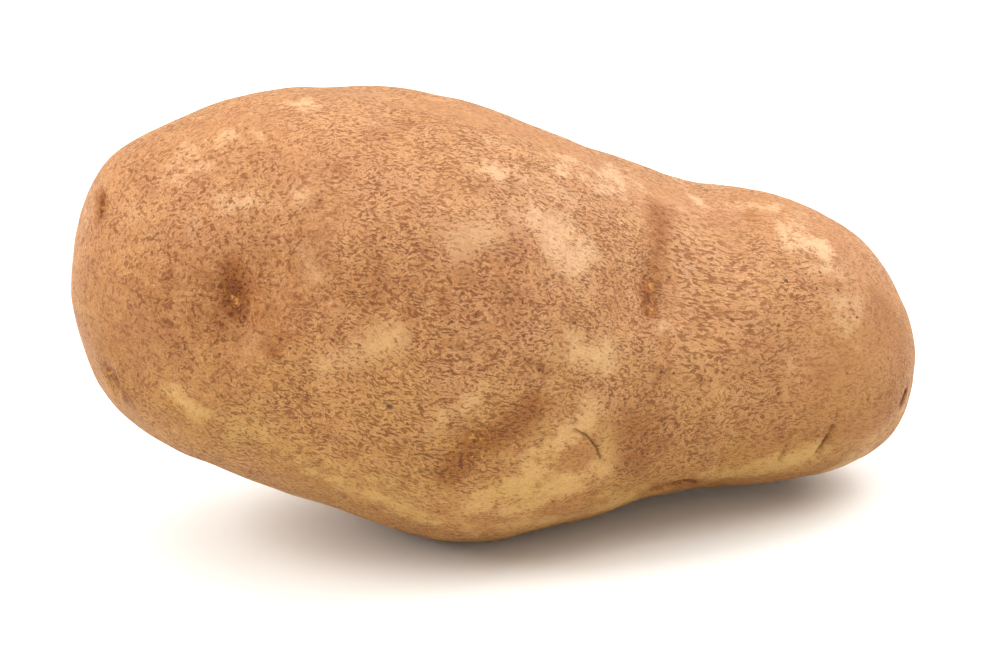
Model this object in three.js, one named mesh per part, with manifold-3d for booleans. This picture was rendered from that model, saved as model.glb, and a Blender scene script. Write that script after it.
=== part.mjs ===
// A russet potato, in millimetres: one solid tuber lying on its small flat spot.
// Its length runs along X with the thick end toward -X, -Y is the front, +Z is up.
import * as THREE from "three";
import { mergeVertices } from "three/addons/utils/BufferGeometryUtils.js";
import Module from "manifold-3d";

// Tip to tip.
const LENGTH = 124;

// Depth of a cross-section as a share of its height, in front of the centre line and behind it.
const FRONT_DEPTH = 0.96;
const BACK_DEPTH = 0.99;

// How square a cross-section is: 2 is an ellipse.
const SQUARENESS = 2.12;

// How far the flat spot is cut into the belly.
const FLAT_CUT = 0.7;

// Stations from the thick end to the thin one: where it is along the length, the half height it
// would have there were the ends not rounded off, the height of the centre line above the belly's
// lowest line, and how far the centre line swings toward the back.
const STATIONS = [
  [-62, 44, 38, 2],
  [-47, 35.8, 38, 1],
  [-30, 33.6, 36.2, 0],
  [-14, 33.2, 32.4, -1],
  [2, 29.7, 29.6, -1],
  [16, 26.5, 27.2, 0],
  [29, 25.7, 24.6, 1],
  [43, 29, 22.8, 1],
  [54, 32.2, 20.6, 0],
  [62, 34, 18.4, 0],
];

// Shallow hollows, each round an eye, and low swellings (a negative depth): where it is along the
// length, the angle round the body from the front upward in degrees, its depth and its reach.
const HOLLOWS = [
  [-44, 14, 1.5, 7],
  [17.5, 28, 1.3, 6.5],
  [-10, -17, 1, 7],
  [-56, -14, 1, 6],
  [33, 52, 0.5, 6],
  [-20, 78, 0.6, 8],
  [24, -62, 0.5, 6],
  [-33, 150, 1.3, 7],
  [12, 118, 1.1, 6.5],
  [2, 205, 1.3, 7],
  [38, 190, 1.1, 6],
  [-38, 235, 1, 6.5],
  [18, 2, -0.7, 8],
  [-22, 30, -0.5, 10],
  [-27, -56, 0.4, 6],
  [46, 30, -0.5, 9],
  [-8, 160, -0.7, 12],
];

// How far along the length, as a share of its own place, a hollow's axis meets the centre line: under
// 1 it leans toward the tuber's middle, so a hollow near an end stays square to the rounded skin.
const AXIS_LEAN = 0.8;

// Points of the mesh along one edge of the icosahedron it grows from.
const EDGE_SPLITS = 17;

// A column of STATIONS at x: a cubic whose slope at a station is that between its two neighbours.
function atStation(x, column) {
  const last = STATIONS.length - 1;
  let i = 0;
  while (i < last - 1 && x > STATIONS[i + 1][0]) {
    i += 1;
  }
  const slope = (k) => {
    const before = STATIONS[Math.max(k - 1, 0)];
    const after = STATIONS[Math.min(k + 1, last)];
    return (after[column] - before[column]) / (after[0] - before[0]);
  };
  const span = STATIONS[i + 1][0] - STATIONS[i][0];
  const t = THREE.MathUtils.clamp((x - STATIONS[i][0]) / span, 0, 1);
  const h = THREE.MathUtils.smoothstep(t, 0, 1);
  const rise = t * (1 - t) * (1 - t) * span * slope(i);
  const fall = t * t * (1 - t) * span * slope(i + 1);
  return STATIONS[i][column] * (1 - h) + STATIONS[i + 1][column] * h + rise - fall;
}

// The point of the bare tuber at x, at an angle round it in radians, scaled by how far toward the
// rim of that cross-section it lies (1 on the skin).
function skinPoint(x, angle, share) {
  const half = atStation(x, 1) * share;
  const c = Math.cos(angle);
  const s = Math.sin(angle);
  const square = (Math.abs(c) ** SQUARENESS + Math.abs(s) ** SQUARENESS) ** (-1 / SQUARENESS);
  const depth = c > 0 ? FRONT_DEPTH : BACK_DEPTH;
  const y = atStation(x, 3) - c * half * square * depth;
  const z = atStation(x, 2) + s * half * square;
  return new THREE.Vector3(x, y, z);
}

// How wide the rounded ends leave the cross-section at x, as a share.
function endShare(x) {
  return Math.sqrt(Math.max(0, 1 - (2 * x / LENGTH) ** 2));
}

const hollows = HOLLOWS.map(([x, degrees, depth, reach]) => {
  const centre = skinPoint(x, THREE.MathUtils.degToRad(degrees), endShare(x));
  const inward = new THREE.Vector3(0, atStation(x, 3), atStation(x, 2));
  inward.setX(x * AXIS_LEAN).sub(centre).normalize();
  return { centre, inward, depth, reach };
});

// The tuber: an icosahedron's sphere drawn out to the stations, then dented by the hollows.
function tuberGeometry() {
  const sphere = new THREE.IcosahedronGeometry(1, EDGE_SPLITS);
  sphere.deleteAttribute("normal");
  sphere.deleteAttribute("uv");
  const geometry = mergeVertices(sphere, 1e-5);
  const position = geometry.getAttribute("position");
  const direction = new THREE.Vector3();
  for (let i = 0; i < position.count; i += 1) {
    direction.fromBufferAttribute(position, i).normalize();
    const share = Math.hypot(direction.y, direction.z);
    const angle = Math.atan2(direction.z, -direction.y);
    const bare = skinPoint((direction.x * LENGTH) / 2, angle, share);
    const point = bare.clone();
    for (const { centre, inward, depth, reach } of hollows) {
      const near = Math.exp(-bare.distanceToSquared(centre) / (reach * reach));
      point.addScaledVector(inward, depth * near);
    }
    position.setXYZ(i, point.x, point.y, point.z);
  }
  return geometry;
}

// The flat spot: everything under the plane it rests on is cut away.
async function cutFlat(geometry) {
  const wasm = await Module();
  wasm.setup();
  const mesh = new wasm.Mesh({
    numProp: 3,
    vertProperties: new Float32Array(geometry.getAttribute("position").array),
    triVerts: new Uint32Array(geometry.index.array),
  });
  geometry.computeBoundingBox();
  const rest = geometry.boundingBox.min.z + FLAT_CUT;
  const cut = wasm.Manifold.ofMesh(mesh).trimByPlane([0, 0, 1], rest).getMesh();
  const flat = new THREE.BufferGeometry();
  flat.setAttribute("position", new THREE.BufferAttribute(cut.vertProperties, 3));
  flat.setIndex(new THREE.BufferAttribute(cut.triVerts, 1));
  return flat;
}

const geometry = await cutFlat(tuberGeometry());
geometry.computeBoundingBox();
const box = geometry.boundingBox;
geometry.translate(-(box.min.x + box.max.x) / 2, -(box.min.y + box.max.y) / 2, -box.min.z);
geometry.computeVertexNormals();

const potato = new THREE.Mesh(
  geometry,
  new THREE.MeshStandardMaterial({ name: "skin", color: 0xc08a55, roughness: 0.8 }),
);
potato.name = "potato";

const part = new THREE.Group();
part.name = "russet_potato";
part.add(potato);

export default part;
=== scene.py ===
import math

import bmesh
import bpy
import numpy as np
from mathutils import Matrix, Vector, noise


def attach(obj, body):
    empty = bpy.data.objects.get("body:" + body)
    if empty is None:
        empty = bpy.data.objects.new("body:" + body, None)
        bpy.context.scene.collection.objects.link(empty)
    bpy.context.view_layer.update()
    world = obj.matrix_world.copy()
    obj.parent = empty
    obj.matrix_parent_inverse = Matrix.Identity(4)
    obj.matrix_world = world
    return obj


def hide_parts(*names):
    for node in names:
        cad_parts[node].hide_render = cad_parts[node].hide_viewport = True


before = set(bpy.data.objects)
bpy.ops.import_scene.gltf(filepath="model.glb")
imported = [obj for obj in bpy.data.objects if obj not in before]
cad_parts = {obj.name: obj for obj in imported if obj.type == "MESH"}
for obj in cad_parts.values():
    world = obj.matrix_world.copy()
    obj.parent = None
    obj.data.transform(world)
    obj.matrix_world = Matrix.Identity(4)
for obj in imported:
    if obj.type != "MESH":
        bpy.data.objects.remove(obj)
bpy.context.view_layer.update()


# The tuber. A russet potato is one body of firm flesh that swelled underground inside a thin corky
# skin, longer than it is thick, blunt where it hung from its stem and slimmer at the growing end.
# Lengths here are in millimetres: x runs along it, and an angle goes round it from the front upward.

MM = 0.001

# Low swellings and hollows that growing between stones and clods left: x, angle, reach, height.
SWELLINGS = [
    (-30, 62, 15, 0.5),
    (-56, 72, 8, 0.6),
    (-56, 92, 8, 0.9),
    (-61, 20, 9, 0.7),
    (-19, 98, 10, -1.3),
    (28, 90, 7, -0.6),
    (-8, 44, 9, 0.35),
    (3, 60, 10, 0.4),
    (-24, 6, 11, 0.45),
    (2, -16, 10, 0.5),
    (7, 12, 6, 0.3),
    (15, 17, 3, 0.6),
    (29, 28, 7, 0.35),
    (40, 54, 8, 0.5),
    (51, 78, 7, 0.9),
    (24, 60, 5, -0.3),
    (19, 62, 7, -0.5),
    (-34, -16, 9, -0.3),
    (-17, -20, 9, -0.3),
    (-50, 40, 9, 0.35),
    (48, -10, 7, 0.3),
    (34, -34, 6, 0.25),
    (-14, 120, 11, 0.5),
    (-36, 170, 12, 0.5),
    (10, 165, 9, -0.5),
    (24, 205, 10, 0.45),
    (-20, 222, 11, -0.5),
    (36, 140, 8, 0.35),
]

# The finer unevenness all over: distance from lump to lump, height.
LUMPS = ((9.0, 0.35), (3.4, 0.10))


def points_of(mesh):
    """The places of a mesh's vertices in millimetres, one row each."""
    flat = np.empty(len(mesh.vertices) * 3)
    mesh.vertices.foreach_get("co", flat)
    return flat.reshape(-1, 3) / MM


def normals_of(mesh):
    flat = np.empty(len(mesh.vertices) * 3, np.float32)
    mesh.vertices.foreach_get("normal", flat)
    return flat.reshape(-1, 3).astype(float)


def move_to(mesh, points):
    mesh.vertices.foreach_set("co", (points * MM).astype(np.float32).ravel())
    mesh.update()


# The tuber's middle line, from the widest places of slices across it.
body = points_of(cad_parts["potato"].data)
slice_x = np.linspace(body[:, 0].min() + 3, body[:, 0].max() - 3, 40)
slices = [body[abs(body[:, 0] - x) < 2.5] for x in slice_x]
middle_y = [(s[:, 1].min() + s[:, 1].max()) / 2 for s in slices]
middle_z = [(s[:, 2].min() + s[:, 2].max()) / 2 for s in slices]


def middle(x):
    return np.interp(x, slice_x, middle_y), np.interp(x, slice_x, middle_z)


def on_skin(points, x, angle):
    """Which vertex lies nearest to a place given along the tuber and round it."""
    y, z = middle(points[:, 0])
    out = np.array([-math.cos(math.radians(angle)), math.sin(math.radians(angle))])
    arm = np.stack([points[:, 1] - y, points[:, 2] - z], axis=1)
    reach = np.hypot(arm[:, 0], arm[:, 1])
    off_line = reach - arm @ out
    return int(np.argmin((points[:, 0] - x) ** 2 + off_line * (off_line + 2 * reach)))


def near_line(points, places):
    """How far each vertex lies from a line drawn on the skin through places (x, angle)."""
    stops = [points[on_skin(points, x, angle)] for x, angle in places]
    if len(stops) == 1:
        return np.linalg.norm(points - stops[0], axis=1)
    distance = np.full(len(points), 1e9)
    for a, b in zip(stops, stops[1:]):
        along = np.clip((points - a) @ (b - a) / max((b - a) @ (b - a), 1e-9), 0, 1)
        distance = np.minimum(distance, np.linalg.norm(points - a - along[:, None] * (b - a), axis=1))
    return distance


def soft_edge(distance, reach):
    """1 on a line or spot, falling smoothly to 0."""
    return np.exp(-((distance / reach) ** 2))


rough = bpy.data.meshes.new("tuber_rough")
bm = bmesh.new()
bm.from_mesh(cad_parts["potato"].data)
bmesh.ops.remove_doubles(bm, verts=bm.verts, dist=0.01 * MM)
bmesh.ops.smooth_vert(bm, verts=bm.verts, factor=0.3, use_axis_x=True, use_axis_y=True, use_axis_z=True)
bm.to_mesh(rough)
bm.free()
potato = bpy.data.objects.new("potato_skin", rough)
bpy.context.scene.collection.objects.link(potato)
finer = potato.modifiers.new("finer", "SUBSURF")
finer.levels = 2
finer.render_levels = 2
depsgraph = bpy.context.evaluated_depsgraph_get()
skin = bpy.data.meshes.new_from_object(potato.evaluated_get(depsgraph))
potato.modifiers.clear()
potato.data = skin
skin.name = "tuber"

points = points_of(skin)
out = normals_of(skin)
swell = np.zeros(len(points))
for x, angle, reach, height in SWELLINGS:
    swell += height * soft_edge(near_line(points, [(x, angle)]), reach)
for wave, height in LUMPS:
    swell += height * np.array([noise.noise(Vector(p) / wave) for p in points])
move_to(skin, points + out * swell[:, None])


# The eyes. Each is a leaf scar: a hollow with a low brow on the stem side and one or more buds in
# it, corky gold against the skin. They follow a spiral round the tuber, closer at the growing end.

# x, angle, turn (0 has the hollow's long way round the tuber), half length, half width, depth, brow height
EYES = [
    (-43, 17, 8, 4.6, 2.7, 1.5, 0.35),
    (14.5, 29, 2, 4.2, 2.0, 0.6, 0.15),
    (-13, -15, -38, 4.6, 2.6, 0.4, 0.1),
    (-58.5, -41, 20, 3.2, 1.5, 0.8, 0.3),
    (-58, 68, 10, 2.4, 1.2, 0.6, 0.15),
    (33, 70, 0, 3.0, 1.6, 0.3, 0.1),
    (20, -48, 82, 3.8, 1.4, 0.9, 0.15),
    (-16.5, 73, 60, 4.0, 2.4, 0.35, 0.12),
    (-33, 148, 6, 4.6, 2.4, 1.0, 0.3),
    (12, 118, -8, 4.0, 2.0, 0.9, 0.25),
    (2, 205, 10, 4.4, 2.2, 1.0, 0.3),
    (38, 190, -6, 3.6, 1.8, 0.9, 0.25),
    (-38, 238, 12, 4.2, 2.2, 0.9, 0.3),
    (40, 285, 0, 3.4, 1.8, 0.8, 0.2),
    (52, 120, 4, 2.8, 1.4, 0.7, 0.2),
    (57, 215, 0, 2.6, 1.4, 0.6, 0.2),
]

# Buds: x, angle, radius, height.
BUDS = [
    (-43, 15, 0.7, 0.55),
    (-43.5, 17, 0.4, 0.35),
    (-42.5, 18, 0.3, 0.25),
    (-44, 13, 0.3, 0.2),
    (14.5, 32, 0.9, 0.25),
    (14, 25, 0.8, 0.4),
    (-13, -14, 0.6, 0.35),
    (-12, -15, 0.45, 0.3),
    (-15, -18, 0.4, 0.25),
    (-58.5, -39, 0.7, 0.45),
    (-58, 69, 0.4, 0.3),
    (-33, 148, 0.9, 0.7),
    (12, 118, 0.8, 0.6),
    (2, 205, 0.9, 0.7),
    (38, 190, 0.8, 0.6),
    (-38, 238, 0.8, 0.6),
    (40, 285, 0.7, 0.5),
    (52, 120, 0.6, 0.5),
    (57, 215, 0.6, 0.5),
]

# Creases: the places they run through, half width, depth.
CREASES = [
    ([(44, -12), (43.5, -24), (42, -34)], 0.32, 0.2),
    ([(43.5, -20), (43, -27), (42, -34)], 0.34, 0.3),
    ([(43, -27), (42, -34)], 0.5, 0.35),
    ([(36.5, -22), (36, -36)], 0.32, 0.2),
    ([(36.5, -28), (36, -36)], 0.38, 0.25),
    ([(57, -14), (56, -24), (52, -36)], 0.5, 0.2),
    ([(57, -14), (56, -20)], 0.5, 0.45),
    ([(37, 60), (36.5, 40)], 0.45, 0.12),
    ([(-45, 12), (-46, 9), (-45, 6)], 0.35, 0.14),
    ([(-24, 66), (-22, 63), (-20, 65)], 0.4, 0.12),
    ([(-59, -38), (-58, -44)], 0.5, 0.2),
    ([(-58, 74), (-58.5, 64)], 0.35, 0.25),
    ([(17, -46), (20, -48), (24, -50)], 0.5, 0.4),
    ([(-37, 151), (-35.5, 143)], 0.45, 0.35),
    ([(8, 122), (9, 113)], 0.4, 0.3),
    ([(-2, 210), (-1, 200)], 0.45, 0.35),
]

# Black flecks of dried soil and cork: x, angle, radius.
FLECKS = [
    (36.5, 39, 0.4),
    (35, 46, 0.3),
    (41, 37, 0.32),
    (42, 44, 0.32),
    (44.5, 38, 0.32),
    (47, 28, 0.3),
    (-24.5, -9, 0.62),
    (-27.5, 2, 0.25),
    (1.5, 18, 0.35),
    (-6, 22, 0.3),
    (-7.5, 17, 0.3),
    (-6, 8, 0.35),
    (-4, 5, 0.35),
    (-3.5, -15, 0.32),
    (15, 5, 0.42),
    (17, 4, 0.3),
    (21.5, 2, 0.3),
    (26, 6, 0.3),
    (27, 24, 0.3),
    (18, 36, 0.3),
    (9, -3, 0.28),
    (-45, 7, 0.32),
    (-38, 5, 0.35),
    (-37, 3, 0.28),
]

# A small healed crack like a fingernail's mark, with its lower lip lifted: the places it runs through.
CRACK = [(1.5, -12), (3.5, -14), (5, -18), (6, -22)]
CRACK_HALF_WIDTH = 0.3
CRACK_DEPTH = 0.42
LIP_HALF_WIDTH = 0.55
LIP_HEIGHT = 0.2

# How far round each mark the mesh is made finer, and then finer again.
FINE_BESIDE_EYE = 0.8
FINE_BESIDE_CRACK = 3.2
FINE_BESIDE_CREASE = 1.4
FINE_BESIDE_FLECK = 1.3
FINEST_BESIDE_CRACK = 0.9
FINEST_BESIDE_CREASE = 0.8
FINEST_BESIDE_FLECK = 0.9


def frame_at(points, out, x, angle, turn):
    """An eye's centre, its way across, its long way round the tuber and its way out."""
    at = on_skin(points, x, angle)
    close = np.linalg.norm(points - points[at], axis=1) < 2.5
    outward = Vector(out[close].mean(axis=0)).normalized()
    across = Vector((1, 0, 0)) - outward * outward.x
    if across.length < 0.35:
        across = Vector((0, 0, 1)) - outward * outward.z
    across.normalize()
    across = Matrix.Rotation(math.radians(turn), 3, outward) @ across
    return points[at], np.array(across), np.array(outward.cross(across)), np.array(outward)


def refine(mesh, chosen):
    """Splits the edges whose two ends are both chosen."""
    bm = bmesh.new()
    bm.from_mesh(mesh)
    bm.verts.ensure_lookup_table()
    edges = [e for e in bm.edges if chosen[e.verts[0].index] and chosen[e.verts[1].index]]
    bmesh.ops.subdivide_edges(bm, edges=edges, cuts=1, smooth=0.4, use_grid_fill=True)
    bmesh.ops.triangulate(bm, faces=[f for f in bm.faces if len(f.verts) > 4])
    bm.to_mesh(mesh)
    bm.free()
    mesh.update()


# The mesh is made finer round the eyes, the creases, the crack and the flecks before they are made.
points = points_of(skin)
fine = near_line(points, CRACK) < FINE_BESIDE_CRACK
for x, angle, turn, half_length, half_width, depth, brow in EYES:
    fine |= near_line(points, [(x, angle)]) < half_length + FINE_BESIDE_EYE
for places, half_width, depth in CREASES:
    fine |= near_line(points, places) < FINE_BESIDE_CREASE
for x, angle, radius in FLECKS:
    fine |= near_line(points, [(x, angle)]) < FINE_BESIDE_FLECK
refine(skin, fine)
points = points_of(skin)
finest = near_line(points, CRACK) < FINEST_BESIDE_CRACK
for places, half_width, depth in CREASES:
    finest |= near_line(points, places) < FINEST_BESIDE_CREASE
for x, angle, radius in FLECKS:
    finest |= near_line(points, [(x, angle)]) < FINEST_BESIDE_FLECK
refine(skin, finest)

points = points_of(skin)
out = normals_of(skin)
shift = np.zeros_like(points)
for x, angle, turn, half_length, half_width, depth, brow in EYES:
    centre, across, round_way, outward = frame_at(points, out, x, angle, turn)
    u = (points - centre) @ across / half_width
    v = (points - centre) @ round_way / half_length
    away = abs((points - centre) @ outward) < 8
    r = np.hypot(u, v)
    hollow = -depth * np.exp(-(r**2) * 1.2)
    side = np.clip(u / np.maximum(r, 1e-6), 0, 1)
    lip = brow * np.exp(-(((r - 1.35) / 0.28) ** 2)) * side
    folds = -0.08 * depth * np.cos(r * 9) * np.exp(-((r - 0.7) ** 2) * 5)
    shift += outward * ((hollow + lip + folds) * away)[:, None]
for x, angle, radius, height in BUDS:
    centre, across, round_way, outward = frame_at(points, out, x, angle, 0)
    r = np.linalg.norm(points - centre, axis=1) / radius
    shift += outward * (height * np.exp(-(r**4)))[:, None]
for places, half_width, depth in CREASES:
    shift -= out * (depth * soft_edge(near_line(points, places), half_width))[:, None]
gash = near_line(points, CRACK)
shift -= out * (CRACK_DEPTH * soft_edge(gash, CRACK_HALF_WIDTH))[:, None]
below = near_line(points, [(x + 0.5, angle - 1.5) for x, angle in CRACK])
shift += out * (LIP_HEIGHT * soft_edge(below, LIP_HALF_WIDTH))[:, None]
move_to(skin, points + shift)


# The skin's pattern, with light and shade painted into it. Where the tuber swelled fast the cork split into
# a fine brown netting;
# where it swelled slowly it stayed smooth and cream. Soil and old cork brown the eyes; painted shade
# darkens the eyes' hollows, the folds and the crack.

# Smooth pale patches: the places each runs through, reach, strength.
PALE = [
    ([(-32, 0), (-28, 6), (-24, 10)], 2.9, 0.95),
    ([(-31, 13)], 1.9, 0.7),
    ([(-34, 47)], 2.1, 0.75),
    ([(-34, 31), (-33, 24)], 1.8, 0.75),
    ([(-42, 74)], 2.2, 0.65),
    ([(-30, 82)], 2.6, 0.75),
    ([(-48, 40)], 2.1, 0.7),
    ([(-47, 64)], 5.0, 0.35),
    ([(-43, 46), (-38, 45)], 2.0, 0.7),
    ([(-52, -22), (-48, -28)], 2.0, 0.85),
    ([(-58, 6)], 1.3, 0.6),
    ([(-41, 4), (-43, -4)], 1.4, 0.6),
    ([(-27, -28)], 1.8, 0.6),
    ([(-19, -13), (-12, 0)], 1.5, 0.75),
    ([(-15, 35), (-9, 38)], 2.9, 0.9),
    ([(-7, 55)], 2.6, 0.75),
    ([(-5, 70)], 2.8, 0.7),
    ([(-2, 45), (0, 38), (3, 34)], 4.2, 0.95),
    ([(3, 27)], 2.0, 0.6),
    ([(0, 12), (6, 10)], 2.6, 0.95),
    ([(3, -10), (-2, -19), (-7, -30), (-12, -36)], 3.4, 1.05),
    ([(6, -26), (0, -32), (-6, -37)], 3.4, 1.0),
    ([(6, -14), (7, -22)], 2.2, 0.8),
    ([(-42, -30), (-19, -35)], 4.2, 0.6),
    ([(-34, -38), (-20, -45), (-4, -49), (12, -50)], 3.2, 0.75),
    ([(13, 2)], 1.3, 0.5),
    ([(25, -3)], 0.9, 0.6),
    ([(15, 18)], 1.8, 0.95),
    ([(13, 13)], 1.4, 0.6),
    ([(4, 62), (14, 72)], 4.4, 0.75),
    ([(31, 28)], 2.2, 0.6),
    ([(32, 46)], 2.0, 0.5),
    ([(39, 58), (43, 54)], 3.3, 1.1),
    ([(40, 46)], 2.4, 0.7),
    ([(32, 76), (38, 78)], 2.0, 0.7),
    ([(27, 74)], 1.8, 0.6),
    ([(47, 43), (46, 30)], 4.0, 0.45),
    ([(52, 12), (54, 34), (52, 66)], 4.5, 0.28),
    ([(25, -46), (33, -42), (40, -36)], 3.0, 0.95),
    ([(9, -42), (16, -46)], 2.6, 0.7),
    ([(-50, 150), (-46, 138), (-47, 128)], 3.4, 0.65),
    ([(-18, 135), (-12, 140)], 4.4, 0.75),
    ([(18, 150), (24, 157), (21, 166)], 4.2, 0.75),
    ([(-22, 190), (-16, 183), (-11, 190)], 4.4, 0.75),
    ([(46, 162), (50, 176)], 4.0, 0.65),
    ([(14, 236), (19, 228), (24, 234)], 4.0, 0.7),
    ([(-8, 262), (8, 280)], 5.0, 0.9),
    ([(-40, 270), (-34, 290)], 4.0, 0.8),
    ([(-56, 230), (-58, 180)], 3.0, 0.7),
    ([(48, 300), (54, 330)], 4.0, 0.6),
]

# Brown stains, and over the eyes and creases painted shade in their hollows: the places each runs through,
# reach, strength.
STAINS_AND_HOLLOW_SHADE = [
    ([(-43, 27), (-43, 13)], 2.6, 1.0),
    ([(-43, 21), (-43, 13)], 2.0, 1.6),
    ([(-58, 10), (-28, 20), (-10, 27)], 12, 0.48),
    ([(-45, 7)], 1.4, 0.8),
    ([(-38, 6), (-39, 0)], 1.8, 0.8),
    ([(19, 62), (17, 48), (14, 32)], 3.0, 0.75),
    ([(14, 32), (14, 25)], 1.5, 1.3),
    ([(18, 36)], 1.4, 0.5),
    ([(-16, -25), (-13, -16), (-8, -12), (-5, -5)], 2.8, 1.0),
    ([(-58, 76), (-58.5, 64)], 1.6, 0.8),
    ([(-59, -38), (-57, -42)], 2.0, 0.8),
    ([(-28, 53)], 1.8, 0.5),
    ([(-18, 29), (-17, 21)], 2.0, 0.4),
    ([(8, 42), (9, 25)], 2.2, 0.4),
    ([(15, 5), (13, -3)], 1.9, 0.5),
    ([(21, 2)], 1.5, 0.4),
    ([(13, -22), (10, -13)], 5.0, 0.75),
    ([(17, -46), (20, -48), (24, -50)], 1.7, 1.1),
    ([(18, -47)], 1.5, 1.8),
    ([(-17, 73), (-23, 65)], 2.4, 0.45),
    ([(-38, -3), (-35, -12)], 2.2, 0.4),
    ([(-18, 19), (-13, 12)], 2.0, 0.35),
    ([(-6, 8), (-3, 5)], 1.7, 0.5),
    ([(-6, 28), (-7, 20)], 1.0, 0.5),
    ([(52, 36), (56, 10), (53, -14)], 6.0, 0.5),
    ([(24, 33), (22, 22)], 2.4, 0.3),
    ([(22, -17)], 2.6, 0.35),
    ([(35, -23), (48, -24)], 2.0, 0.35),
    ([(57, -14), (56, -20)], 1.4, 1.0),
    ([(34, 70)], 1.8, 0.4),
    ([(-33, 148)], 3.4, 1.0),
    ([(12, 118)], 3.0, 0.9),
    ([(2, 205)], 3.4, 1.0),
    ([(38, 190)], 2.8, 0.9),
    ([(-38, 238)], 3.2, 0.9),
    ([(40, 285)], 2.8, 0.9),
    ([(52, 120)], 2.4, 0.8),
    ([(57, 215)], 2.2, 0.8),
]

# Where the netting is of round cells, and where it is drawn out into ribs along the tuber.
ROUND_CELLS = ([(-58, 5), (-47, 42)], 20)
RIBS = ([(22, 55), (27, 33), (22, 14)], 7.5)

# Where the netting is faint: the places it runs through, reach, how faint.
CALM = [
    ([(44, 6), (52, 30), (46, 62)], 11, 1.0),
    ([(-10, 84), (14, 72), (40, 72)], 8, 0.95),
    ([(-44, 76), (-28, 88)], 10, 0.5),
    ([(46, -20), (34, -38)], 9, 0.9),
    ([(-34, -42), (-8, -44), (16, -46)], 6, 0.7),
    ([(0, -24)], 9, 1.0),
    ([(-24, 62), (4, 60)], 14, 0.35),
    ([(8, 40), (22, 20)], 16, 0.2),
    ([(-58, -10), (-60, 40)], 8, 0.5),
    ([(-18, 140), (-14, 190), (4, 270)], 13, 0.7),
    ([(46, 170), (50, 250)], 12, 0.7),
]


def keep(mesh, name, values):
    """Stores one number a vertex, or one vector, for the material to read."""
    kind, field = ("FLOAT_VECTOR", "vector") if values.ndim == 2 else ("FLOAT", "value")
    store = mesh.attributes.new(name, kind, "POINT")
    store.data.foreach_set(field, values.astype(np.float32).ravel())


def strongest(points, marks):
    """The most that any of these marks has at each vertex."""
    found = np.zeros(len(points))
    for places, reach, strength in marks:
        found = np.maximum(found, strength * soft_edge(near_line(points, places), reach))
    return found


points = points_of(skin)
y, z = middle(points[:, 0])
grain = np.stack([points[:, 0], points[:, 1], points[:, 2] - z], axis=1)
keep(skin, "grain", grain)
keep(skin, "pale", strongest(points, PALE))
keep(skin, "stain_and_hollow_shade", strongest(points, STAINS_AND_HOLLOW_SHADE))
keep(skin, "bud", strongest(points, [([(x, a)], radius * 1.1, 1.0) for x, a, radius, h in BUDS]))
keep(skin, "fleck", strongest(points, [([(x, a)], radius, 1.0) for x, a, radius in FLECKS]))
# The folds' and the crack's darkening is painted shade, stronger where a crease is deeper.
folds = [(places, half_width * 1.1, min(0.9, depth * 2.2)) for places, half_width, depth in CREASES]
keep(skin, "fold_shade", strongest(points, [*folds, (CRACK, 0.22, 1.0)]))
keep(skin, "round_cells", soft_edge(near_line(points, ROUND_CELLS[0]), ROUND_CELLS[1]))
keep(skin, "calm", strongest(points, CALM))
keep(skin, "ribs", soft_edge(near_line(points, RIBS[0]), RIBS[1]))


def add(tree, kind, inputs=None, **settings):
    """Adds a shader node, with its settings and its inputs' values or links."""
    node = tree.nodes.new(kind)
    for name, value in settings.items():
        setattr(node, name, value)
    for name, value in (inputs or {}).items():
        if isinstance(value, bpy.types.NodeSocket):
            tree.links.new(value, node.inputs[name])
        else:
            node.inputs[name].default_value = value
    return node


def maths(tree, operation, a, b=0.0):
    return add(tree, "ShaderNodeMath", {0: a, 1: b}, operation=operation).outputs[0]


def between(tree, value, low, high, to_low=0.0, to_high=1.0):
    """A smooth step: to_low at low, to_high at high."""
    inputs = {"Value": value, "From Min": low, "From Max": high, "To Min": to_low, "To Max": to_high}
    return add(tree, "ShaderNodeMapRange", inputs, interpolation_type="SMOOTHSTEP").outputs[0]


def mixed(tree, share, a, b):
    """Two numbers mixed."""
    node = add(tree, "ShaderNodeMix", data_type="FLOAT")
    for socket, value in ((0, share), (2, a), (3, b)):
        if isinstance(value, bpy.types.NodeSocket):
            tree.links.new(value, node.inputs[socket])
        else:
            node.inputs[socket].default_value = value
    return node.outputs[0]


def coloured(tree, share, a, b, blend_type="MIX"):
    """Two colours mixed."""
    node = add(tree, "ShaderNodeMix", data_type="RGBA", blend_type=blend_type)
    for socket, value in ((0, share), (6, a), (7, b)):
        if isinstance(value, bpy.types.NodeSocket):
            tree.links.new(value, node.inputs[socket])
        else:
            node.inputs[socket].default_value = value
    return node.outputs[2]


def cloud(tree, grain, size, detail=3.0, roughness=0.55):
    """Soft noise whose blotches are size millimetres across."""
    inputs = {"Vector": grain, "Scale": 1 / size, "Detail": detail, "Roughness": roughness}
    return add(tree, "ShaderNodeTexNoise", inputs).outputs["Fac"]


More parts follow.
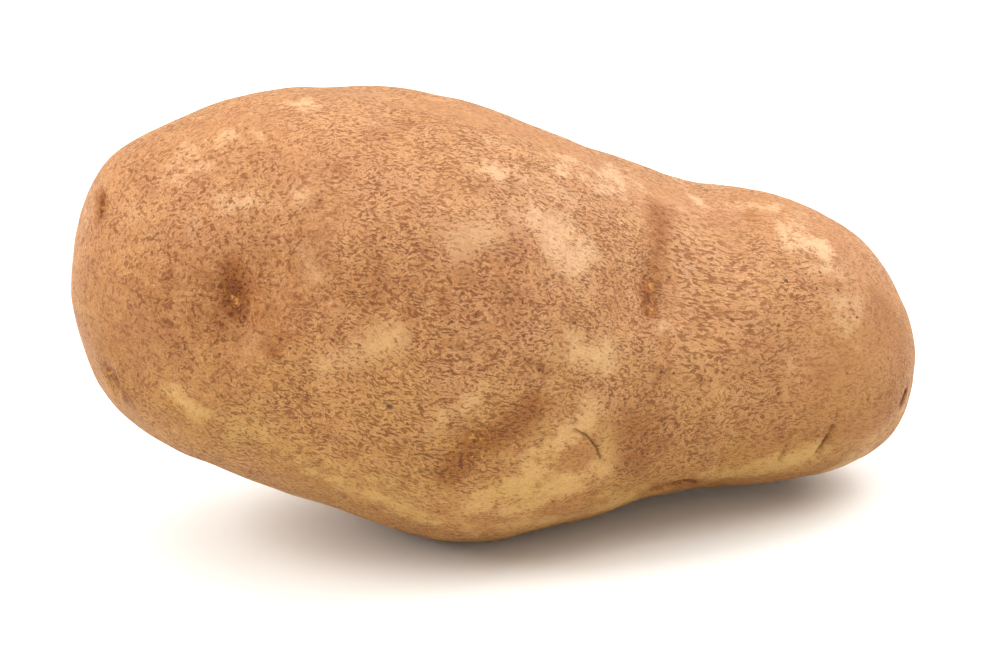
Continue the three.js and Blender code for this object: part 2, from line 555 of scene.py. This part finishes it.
def netting_group():
    """Cork split as the flesh swelled: short dark slits with raised rims between them, and rings with a
    pore in the middle where the splits are round. In the skin the rims are lightened as a painted
    highlight, and the slits' dark is partly painted shade. Pitch is the distance from slit to slit in
    millimetres, Stretch how much longer a slit is than it is wide, Open how many of them are open and
    Sway how far they wander, in millimetres."""
    tree = bpy.data.node_groups.new("Netting", "ShaderNodeTree")
    tree.interface.new_socket("Grain", in_out="INPUT", socket_type="NodeSocketVector")
    for name in ("Pitch", "Stretch", "Open", "Sway"):
        tree.interface.new_socket(name, in_out="INPUT", socket_type="NodeSocketFloat")
    for name in ("Slit", "Rim", "Ring", "Tint"):
        tree.interface.new_socket(name, in_out="OUTPUT", socket_type="NodeSocketFloat")
    given = tree.nodes.new("NodeGroupInput")

    def vectors(operation, a, b):
        return add(tree, "ShaderNodeVectorMath", {0: a, 1: b}, operation=operation).outputs[0]

    def wander(scale, share):
        """A wandering of the grain, share of Sway wide."""
        smooth = {"Vector": given.outputs["Grain"], "Scale": scale, "Detail": 1.0}
        soft = add(tree, "ShaderNodeTexNoise", smooth)
        centred = vectors("SUBTRACT", soft.outputs["Color"], (0.5, 0.5, 0.5))
        reach = maths(tree, "MULTIPLY", given.outputs["Sway"], share)
        return add(tree, "ShaderNodeVectorMath", {0: centred, "Scale": reach}, operation="SCALE").outputs[0]

    moved = vectors("ADD", given.outputs["Grain"], vectors("ADD", wander(0.35, 1.0), wander(1.3, 0.25)))
    across = maths(tree, "DIVIDE", 1.0, given.outputs["Pitch"])
    along = maths(tree, "DIVIDE", across, given.outputs["Stretch"])
    scale = add(tree, "ShaderNodeCombineXYZ", {0: along, 1: across, 2: across}).outputs[0]
    split = vectors("MULTIPLY", moved, scale)
    uneven = {"Vector": split, "Scale": 1.5, "Detail": 2.2, "Roughness": 0.6}
    height = add(tree, "ShaderNodeTexNoise", uneven).outputs["Fac"]
    rough = cloud(tree, given.outputs["Grain"], 1 / 0.35, 3.0)
    lift = maths(tree, "MULTIPLY", maths(tree, "SUBTRACT", rough, 0.5), 0.13)
    open_at = maths(tree, "ADD", given.outputs["Open"], lift)
    slit = between(tree, height, maths(tree, "SUBTRACT", open_at, 0.06), open_at, 1.0, 0.0)
    deepest = maths(tree, "SUBTRACT", open_at, 0.15)
    healed = between(tree, height, deepest, maths(tree, "SUBTRACT", open_at, 0.07), 0.3, 1.0)
    slit = maths(tree, "MULTIPLY", slit, healed)
    rim_foot = maths(tree, "ADD", open_at, 0.02)
    rim_top = maths(tree, "ADD", open_at, 0.10)
    rim = between(tree, height, rim_foot, rim_top)
    behind = between(tree, height, rim_top, maths(tree, "ADD", open_at, 0.24), 1.0, 0.35)
    rim = maths(tree, "MULTIPLY", rim, behind)
    cell = add(tree, "ShaderNodeTexVoronoi", {"Vector": split, "Scale": 1.15}, feature="F1")
    edge = add(tree, "ShaderNodeTexVoronoi", {"Vector": split, "Scale": 1.15}, feature="DISTANCE_TO_EDGE")
    pore = between(tree, cell.outputs["Distance"], 0.1, 0.26, 1.0, 0.0)
    ring = between(tree, edge.outputs["Distance"], 0.02, 0.12, 1.0, 0.0)
    tint = add(tree, "ShaderNodeSeparateColor", {0: cell.outputs["Color"]}).outputs[0]
    result = tree.nodes.new("NodeGroupOutput")
    tree.links.new(slit, result.inputs["Slit"])
    tree.links.new(rim, result.inputs["Rim"])
    tree.links.new(maths(tree, "MAXIMUM", maths(tree, "MULTIPLY", ring, 0.4), pore), result.inputs["Ring"])
    tree.links.new(tint, result.inputs["Tint"])
    return tree


def srgb(red, green, blue):
    """A colour as a paint chart gives it, 0 to 255, as the linear values a shader takes."""
    return (*(((c / 255 + 0.055) / 1.055) ** 2.4 for c in (red, green, blue)), 1.0)


def skin_material():
    """The whole skin: matt cork, a little waxy where it stayed smooth."""
    material = bpy.data.materials.new("russet_skin")
    material.use_nodes = True
    tree = material.node_tree
    tree.nodes.clear()

    def stored(name):
        return add(tree, "ShaderNodeAttribute", attribute_name=name)

    grain = stored("grain").outputs["Vector"]
    netting = netting_group()

    def net(pitch, stretch, opened, sway):
        node = add(tree, "ShaderNodeGroup", {"Grain": grain}, node_tree=netting)
        for name, value in (("Pitch", pitch), ("Stretch", stretch), ("Open", opened), ("Sway", sway)):
            node.inputs[name].default_value = value
        return node

    # Three kinds of netting, each in its own place.
    dashes = net(pitch=0.50, stretch=2.5, opened=0.435, sway=1.6)
    rounds = net(pitch=0.80, stretch=1.3, opened=0.42, sway=1.6)
    ribs = net(pitch=0.64, stretch=3.3, opened=0.44, sway=0.7)
    round_share = between(tree, stored("round_cells").outputs["Fac"], 0.25, 0.7)
    rib_share = between(tree, stored("ribs").outputs["Fac"], 0.2, 0.7)

    def joined(name):
        first = mixed(tree, round_share, dashes.outputs[name], rounds.outputs[name])
        return mixed(tree, rib_share, first, ribs.outputs[name])

    ring = maths(tree, "MULTIPLY", joined("Ring"), mixed(tree, round_share, 0.3, 0.95))
    slit = maths(tree, "MULTIPLY", joined("Slit"), mixed(tree, round_share, 1.0, 1.1))
    crack = maths(tree, "MAXIMUM", slit, ring)
    rim = maths(tree, "MULTIPLY", joined("Rim"), mixed(tree, round_share, 1.0, 0.6))
    tint = joined("Tint")

    def noise_about(size, detail, roughness):
        """Soft noise, as often below nought as above it."""
        return maths(tree, "SUBTRACT", cloud(tree, grain, size, detail, roughness), 0.5)

    def scaled(value, factor):
        return maths(tree, "MULTIPLY", value, factor)

    # How smooth and how stained the skin is here, with ragged edges; over the eyes and creases the stain is
    # partly painted shade in the hollows.
    ragged = noise_about(2.4, 5.0, 0.7)
    frayed = noise_about(0.7, 4.0, 0.7)
    drift = noise_about(7.0, 3.0, 0.55)
    worn = maths(tree, "ADD", scaled(ragged, 3.0), scaled(drift, 1.9))
    worn = maths(tree, "ADD", worn, scaled(frayed, 0.9))
    worn = maths(tree, "SUBTRACT", worn, scaled(crack, 0.35))
    pale = between(tree, maths(tree, "ADD", stored("pale").outputs["Fac"], worn), 0.05, 1.1)
    stain_and_hollow_shade = maths(tree, "ADD", stored("stain_and_hollow_shade").outputs["Fac"], scaled(ragged, 1.5))
    stain_and_hollow_shade = maths(tree, "ADD", stain_and_hollow_shade, scaled(frayed, 0.8))
    deep_stain_and_shade = between(tree, stain_and_hollow_shade, 0.95, 1.7)
    stain_and_hollow_shade = between(tree, stain_and_hollow_shade, 0.05, 0.95)
    bare = between(tree, cloud(tree, grain, 3.4, 3.0), 0.36, 0.56, 0.75, 1.0)
    netted = maths(tree, "MULTIPLY", maths(tree, "SUBTRACT", 1.0, scaled(pale, 0.8)), bare)
    lively = maths(tree, "SUBTRACT", 1.0, scaled(stored("calm").outputs["Fac"], 0.65))
    netted = maths(tree, "MULTIPLY", netted, lively)

    # How far up the tuber this is: the top is given lighter, pinker colours, partly its own tone and partly
    # painted light from above.
    upper_tone_and_light = between(tree, add(tree, "ShaderNodeSeparateXYZ", {0: grain}).outputs["Z"], -16.0, 20.0)

    def either(upper_colour, lower_colour):
        """A colour for the tuber's top going over into one for its underside; the lighter, pinker top
        colour is partly painted light from above.
        """
        return coloured(tree, upper_tone_and_light, lower_colour, upper_colour)

    def tinted(colour, share, tint_colour):
        """The colour multiplied by another where share is 1."""
        return coloured(tree, share, colour, tint_colour, "MULTIPLY")

    # Colour: tan, lighter and pinker above (partly painted light from above), cream where smooth, brown in
    # the slits, eyes and folds, with painted shade deepening the slits, the eyes' hollows, the folds and
    # the crack, and a painted highlight on the netting's raised rims and on the buds.
    mottle = between(tree, cloud(tree, grain, 4.5, 6.0, 0.7), 0.38, 0.62, 1.0, 0.0)
    mottle = maths(tree, "MULTIPLY", mottle, lively)
    colour = tinted(either(srgb(178, 122, 76), srgb(164, 112, 53)), mottle, (0.75, 0.64, 0.50, 1))
    colour = coloured(tree, pale, colour, either(srgb(212, 168, 128), srgb(193, 150, 88)))
    colour = tinted(colour, scaled(between(tree, tint, 0.4, 0.9), 0.5), (0.88, 0.84, 0.80, 1))
    # The netting's raised rims lightened: a painted highlight.
    rim_highlight = either(srgb(221, 167, 120), srgb(202, 149, 90))
    colour = coloured(tree, scaled(maths(tree, "MULTIPLY", rim, netted), 0.8), colour, rim_highlight)
    # The slits and rings darkened: their own brown, and in the sunk slits partly painted shade.
    colour = tinted(colour, maths(tree, "MULTIPLY", crack, netted), (0.76, 0.61, 0.41, 1))
    # Brown stains; over the eyes and creases this brown and its deeper core are partly painted shade in the
    # hollows.
    colour = tinted(colour, stain_and_hollow_shade, (0.72, 0.53, 0.28, 1))
    colour = tinted(colour, deep_stain_and_shade, (0.62, 0.44, 0.26, 1))
    grit = between(tree, cloud(tree, grain, 0.25, 2.0, 0.6), 0.35, 0.65)
    colour = tinted(colour, grit, (0.86, 0.84, 0.80, 1))
    flake = between(tree, cloud(tree, grain, 0.32, 2.0, 0.6), 0.60, 0.70)
    colour = coloured(tree, scaled(maths(tree, "MULTIPLY", flake, stain_and_hollow_shade), 0.6), colour, srgb(196, 142, 84))
    specks = add(tree, "ShaderNodeTexVoronoi", {"Vector": grain, "Scale": 0.55})
    lot = add(tree, "ShaderNodeSeparateColor", {0: specks.outputs["Color"]}).outputs[0]
    chosen = between(tree, lot, 0.55, 0.6)
    speck = maths(tree, "MULTIPLY", between(tree, specks.outputs["Distance"], 0.08, 0.2, 0.75, 0.0), chosen)
    colour = tinted(colour, speck, (0.50, 0.35, 0.20, 1))
    # The buds' gold, lighter in blotches: the lighter gold is a painted highlight.
    bud_highlight = between(tree, cloud(tree, grain, 0.6, 2.0, 0.6), 0.40, 0.62)
    yellow = between(tree, cloud(tree, grain, 9.0, 3.0), 0.40, 0.60, 0.0, 0.8)
    # Less yellowing on top: partly painted light from above.
    yellow = maths(tree, "MULTIPLY", yellow, mixed(tree, upper_tone_and_light, 1.0, 0.35))
    colour = tinted(colour, yellow, (0.95, 0.99, 0.84, 1))
    bud_gold_and_highlight = coloured(tree, bud_highlight, srgb(146, 82, 26), srgb(214, 150, 74))
    colour = coloured(tree, between(tree, stored("bud").outputs["Fac"], 0.3, 0.8, 0.0, 0.85), colour, bud_gold_and_highlight)
    # Painted shade along the folds and in the crack.
    fold_shade = maths(tree, "ADD", stored("fold_shade").outputs["Fac"], scaled(frayed, 1.6))
    colour = tinted(colour, between(tree, fold_shade, 0.15, 0.9, 0.0, 0.9), (0.40, 0.28, 0.17, 1))
    fleck = maths(tree, "ADD", stored("fleck").outputs["Fac"], scaled(noise_about(0.35, 3.0, 0.7), 1.3))
    colour = coloured(tree, between(tree, fleck, 0.4, 0.75, 0.0, 0.85), colour, srgb(88, 46, 18))

    # Relief: rims and sunk slits, then fine flakes.
    relief = maths(tree, "SUBTRACT", scaled(rim, 0.55), crack)
    relief = maths(tree, "MULTIPLY", relief, netted)
    flakes = maths(tree, "MULTIPLY", cloud(tree, grain, 0.4, 4.0, 0.75), mixed(tree, stain_and_hollow_shade, 0.6, 2.2))
    relief = maths(tree, "ADD", relief, flakes)
    bump = add(tree, "ShaderNodeBump", {"Height": relief, "Strength": 0.8, "Distance": 0.00018})
    roughness = mixed(tree, pale, 0.6, 0.48)
    finish = {"Base Color": colour, "Roughness": roughness, "Normal": bump.outputs[0]}
    shader = add(tree, "ShaderNodeBsdfPrincipled", finish)
    shader.inputs["Specular IOR Level"].default_value = 0.35
    output = tree.nodes.new("ShaderNodeOutputMaterial")
    tree.links.new(shader.outputs[0], output.inputs[0])
    return material


skin.materials.clear()
skin.materials.append(skin_material())
skin.polygons.foreach_set("use_smooth", [True] * len(skin.polygons))
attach(potato, "root")
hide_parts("potato")


# The table it lies on: one flat sheet with a dull white finish, far wider than the tuber, standing
# level just under the flat spot on its belly.

bm = bmesh.new()
bmesh.ops.create_grid(bm, x_segments=1, y_segments=1, size=4)
floor_mesh = bpy.data.meshes.new("floor")
bm.to_mesh(floor_mesh)
bm.free()
floor = bpy.data.objects.new("floor", floor_mesh)
bpy.context.scene.collection.objects.link(floor)
white = bpy.data.materials.new("white_sweep")
white.use_nodes = True
white.node_tree.nodes["Principled BSDF"].inputs["Base Color"].default_value = (0.93, 0.93, 0.93, 1)
white.node_tree.nodes["Principled BSDF"].inputs["Roughness"].default_value = 0.9
floor_mesh.materials.append(white)


# The studio: a pale, slightly warm room with three soft boxes, each a square cloth-fronted lamp. A
# broad one hangs overhead and a smaller one stands at either side.

world = bpy.data.worlds.new("studio")
world.use_nodes = True
world.node_tree.nodes["Background"].inputs["Color"].default_value = (1, 0.97, 0.87, 1)
world.node_tree.nodes["Background"].inputs["Strength"].default_value = 0.78
bpy.context.scene.world = world


def soft_box(name, place, size, watts, colour):
    """A square lamp that faces the tuber."""
    lamp = bpy.data.lights.new(name, "AREA")
    lamp.shape = "SQUARE"
    lamp.size = size
    lamp.energy = watts
    lamp.color = colour
    held = bpy.data.objects.new(name, lamp)
    held.location = place
    held.rotation_euler = (Vector((0, 0, 0.03)) - Vector(place)).to_track_quat("-Z", "Y").to_euler()
    bpy.context.scene.collection.objects.link(held)


soft_box("soft_box_above", (0, 0.05, 0.9), 1.5, 8.4, (1.0, 1.0, 1.0))
soft_box("soft_box_left", (-0.8, 0, 0.6), 0.5, 6.8, (1.0, 1.0, 1.0))
soft_box("soft_box_right", (0.7, 0.15, 0.65), 0.7, 6.6, (1.0, 1.0, 1.0))

scene = bpy.context.scene
scene.view_settings.view_transform = "Standard"
scene.view_settings.look = "None"


# The camera, on a stand in front of the tuber and a little toward its thick end. It looks slightly
# down through a long lens, from almost four times the tuber's length away.

CAMERA_TURN = -15
CAMERA_RISE = 20
CAMERA_AWAY = 0.452
CAMERA_LENS = 113
AIM = Vector((-0.0013, 0, 0.0287))

turn, rise = math.radians(CAMERA_TURN), math.radians(CAMERA_RISE)
back = Vector((math.sin(turn) * math.cos(rise), -math.cos(turn) * math.cos(rise), math.sin(rise)))
camera_data = bpy.data.cameras.new("camera")
camera_data.lens = CAMERA_LENS
camera_data.sensor_width = 36
camera_data.clip_start = 0.01
camera = bpy.data.objects.new("camera", camera_data)
camera.location = AIM + back * CAMERA_AWAY
camera.rotation_euler = (-back).to_track_quat("-Z", "Y").to_euler()
scene.collection.objects.link(camera)
scene.camera = camera
